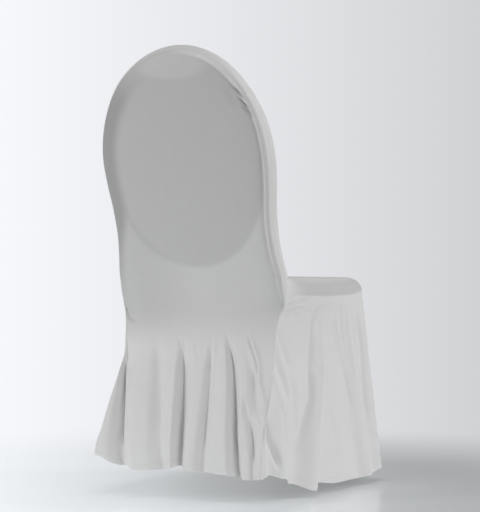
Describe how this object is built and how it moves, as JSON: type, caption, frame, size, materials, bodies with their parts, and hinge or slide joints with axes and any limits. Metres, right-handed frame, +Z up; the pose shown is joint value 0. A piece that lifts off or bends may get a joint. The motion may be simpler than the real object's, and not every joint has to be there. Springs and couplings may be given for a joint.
{
  "type": "chair cover",
  "caption": "Fitted knit cover for a round-topped banquet chair: a hood over the back, a covered seat and a flared, folded skirt to near the floor.",
  "frame": {"origin": "the point under the middle of the hood's top, on the inner face of the cloth, where the chair's back holds the cover up", "axes": "+Z up, along the cover's longest side; -Y towards the front of the chair, +Y behind its back; +X towards the sitter's left"},
  "size_m": [0.483, 0.5646, 0.9272],
  "materials": {
    "back_panel_knit": "white stretch knit, matt, drawn tight over the chair's back",
    "side_band_knit": "white stretch knit, matt",
    "inside_back_panel_knit": "white stretch knit, matt",
    "seat_panel_knit": "white stretch knit, matt, drawn tight over the seat",
    "skirt_knit": "white stretch knit, matt, hanging in soft folds"
  },
  "bodies": {
    "root": {"back_panel": "back_panel_knit", "side_band": "side_band_knit", "inside_back_panel": "inside_back_panel_knit", "seat_panel": "seat_panel_knit", "skirt": "skirt_knit"}
  },
  "joints": []
}
